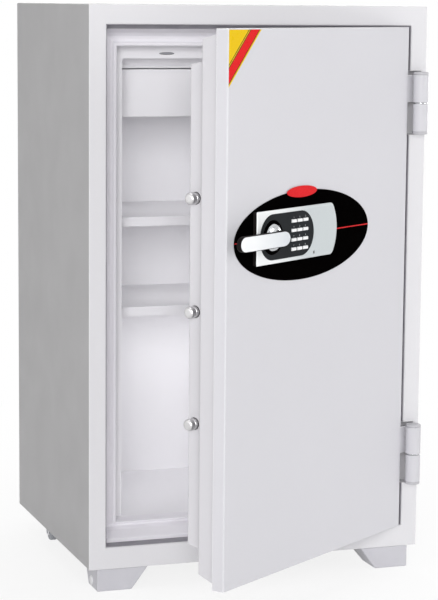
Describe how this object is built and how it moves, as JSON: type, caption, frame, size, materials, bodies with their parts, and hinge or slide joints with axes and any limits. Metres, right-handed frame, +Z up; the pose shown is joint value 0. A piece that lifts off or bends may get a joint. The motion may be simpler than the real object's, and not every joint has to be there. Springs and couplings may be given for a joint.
{
  "type": "fireproof safe",
  "caption": "Upright insulated safe on front feet and rear casters, with a stepped hinged door, bolts, lever handle, keypad, shelves and a lockable drawer.",
  "frame": {"origin": "on the floor, under the middle of the whole object's box with the door standing open as pictured", "axes": "+Z up; -Y is the front, the way the opening faces; +X is to the right seen from the front, towards the hinges"},
  "size_m": [0.555, 0.802, 0.911],
  "materials": {
    "casing": "satin grey powder coat",
    "frame_paint": "satin light grey powder coat",
    "door_paint": "satin light grey powder coat",
    "jamb": "smooth light grey moulding",
    "liner": "satin off-white powder coat",
    "insulation": null,
    "seal": "matt grey strip",
    "foot": "moulded light grey",
    "lock_black": "glossy black",
    "lock_silver": "silver lacquer on moulded plastic",
    "keypad_panel": "dark grey, fine grain",
    "key": "white moulded key",
    "lever_face": "brushed pale silver",
    "chrome": "polished",
    "steel": "bright zinc plated",
    "tyre": "dark grey nylon wheel"
  },
  "bodies": {
    "safe": {"outer_casing": "casing", "front_frame": "frame_paint", "door_seal": "seal", "jamb_moulding": "jamb", "bolt_channel": "jamb", "inner_liner": "liner", "fire_insulation": "insulation", "left_foot": "foot", "left_foot_plug": "foot", "right_foot": "foot", "right_foot_plug": "foot", "left_caster_plate": "steel", "right_caster_plate": "steel", "lower_frame_knuckle": "frame_paint", "upper_frame_knuckle": "frame_paint", "lower_hinge_pin": "steel", "upper_hinge_pin": "steel", "lower_hinge_washer": "steel", "upper_hinge_washer": "steel", "lower_shelf": "liner", "upper_shelf": "liner", "drawer_top_rail": "liner", "left_drawer_runner": "steel", "right_drawer_runner": "steel"},
    "door": {"door_skin": "door_paint", "door_core": "insulation", "door_plug": "jamb", "lower_door_knuckle": "door_paint", "upper_door_knuckle": "door_paint", "oval_plate": "lock_black", "lock_base": "lock_black", "lock_cover": "lock_silver", "keypad_panel": "keypad_panel", "handle_rose": "lock_black"},
    "handle": {"handle_hub": "chrome", "handle_lever": "lock_black", "lever_face": "lever_face", "lock_crank": "steel"},
    "bolts": {"bolt_bar": "steel", "lower_bolt": "steel", "middle_bolt": "steel", "upper_bolt": "steel"},
    "drawer": {"drawer": "liner", "drawer_lock": "chrome"},
    "left_caster": {"left_caster_fork": "steel"},
    "right_caster": {"right_caster_fork": "steel"},
    "left_wheel": {"left_caster_wheel": "tyre"},
    "right_wheel": {"right_caster_wheel": "tyre"},
    "key_1": {"key_1": "key"},
    "key_2": {"key_2": "key"},
    "key_3": {"key_3": "key"},
    "key_4": {"key_4": "key"},
    "key_5": {"key_5": "key"},
    "key_6": {"key_6": "key"},
    "key_7": {"key_7": "key"},
    "key_8": {"key_8": "key"},
    "key_9": {"key_9": "key"},
    "key_clear": {"key_clear": "key"},
    "key_0": {"key_0": "key"},
    "key_enter": {"key_enter": "key"}
  },
  "joints": [
    {"name": "door_swing", "type": "hinge", "parent": "safe", "child": "door", "pos_m": [0.2625, -0.07849, 0.4757], "axis": [0, 0, 1], "range_deg": [-35.75, 84.25]},
    {"name": "handle_turn", "type": "hinge", "parent": "door", "child": "handle", "pos_m": [-0.07912, -0.30656, 0.58], "axis": [0.5843, -0.8116, 0], "range_deg": [0, 60]},
    {"name": "bolt_slide", "type": "slide", "parent": "door", "child": "bolts", "axis": [0.8116, 0.5843, 0], "range_m": [0, 0.0175]},
    {"name": "drawer_slide", "type": "slide", "parent": "safe", "child": "drawer", "axis": [0, -1, 0], "range_m": [0, 0.095]},
    {"name": "left_caster_swivel", "type": "hinge", "parent": "safe", "child": "left_caster", "pos_m": [-0.2495, 0.28901, 0.03], "axis": [0, 0, 1], "continuous": true},
    {"name": "right_caster_swivel", "type": "hinge", "parent": "safe", "child": "right_caster", "pos_m": [0.2495, 0.28901, 0.03], "axis": [0, 0, 1], "continuous": true},
    {"name": "left_wheel_spin", "type": "hinge", "parent": "left_caster", "child": "left_wheel", "pos_m": [-0.2495, 0.27401, 0.015], "axis": [1, 0, 0], "continuous": true},
    {"name": "right_wheel_spin", "type": "hinge", "parent": "right_caster", "child": "right_wheel", "pos_m": [0.2495, 0.27401, 0.015], "axis": [1, 0, 0], "continuous": true},
    {"name": "key_1_press", "type": "slide", "parent": "door", "child": "key_1", "axis": [-0.5843, 0.8116, 0], "range_m": [0, 0.0012], "stiffness_N_per_m": 400},
    {"name": "key_2_press", "type": "slide", "parent": "door", "child": "key_2", "axis": [-0.5843, 0.8116, 0], "range_m": [0, 0.0012], "stiffness_N_per_m": 400},
    {"name": "key_3_press", "type": "slide", "parent": "door", "child": "key_3", "axis": [-0.5843, 0.8116, 0], "range_m": [0, 0.0012], "stiffness_N_per_m": 400},
    {"name": "key_4_press", "type": "slide", "parent": "door", "child": "key_4", "axis": [-0.5843, 0.8116, 0], "range_m": [0, 0.0012], "stiffness_N_per_m": 400},
    {"name": "key_5_press", "type": "slide", "parent": "door", "child": "key_5", "axis": [-0.5843, 0.8116, 0], "range_m": [0, 0.0012], "stiffness_N_per_m": 400},
    {"name": "key_6_press", "type": "slide", "parent": "door", "child": "key_6", "axis": [-0.5843, 0.8116, 0], "range_m": [0, 0.0012], "stiffness_N_per_m": 400},
    {"name": "key_7_press", "type": "slide", "parent": "door", "child": "key_7", "axis": [-0.5843, 0.8116, 0], "range_m": [0, 0.0012], "stiffness_N_per_m": 400},
    {"name": "key_8_press", "type": "slide", "parent": "door", "child": "key_8", "axis": [-0.5843, 0.8116, 0], "range_m": [0, 0.0012], "stiffness_N_per_m": 400},
    {"name": "key_9_press", "type": "slide", "parent": "door", "child": "key_9", "axis": [-0.5843, 0.8116, 0], "range_m": [0, 0.0012], "stiffness_N_per_m": 400},
    {"name": "key_clear_press", "type": "slide", "parent": "door", "child": "key_clear", "axis": [-0.5843, 0.8116, 0], "range_m": [0, 0.0012], "stiffness_N_per_m": 400},
    {"name": "key_0_press", "type": "slide", "parent": "door", "child": "key_0", "axis": [-0.5843, 0.8116, 0], "range_m": [0, 0.0012], "stiffness_N_per_m": 400},
    {"name": "key_enter_press", "type": "slide", "parent": "door", "child": "key_enter", "axis": [-0.5843, 0.8116, 0], "range_m": [0, 0.0012], "stiffness_N_per_m": 400}
  ],
  "couplings": [
    {"joint": "handle_turn", "follows": "bolt_slide", "rad_per_m": 59.8}
  ]
}
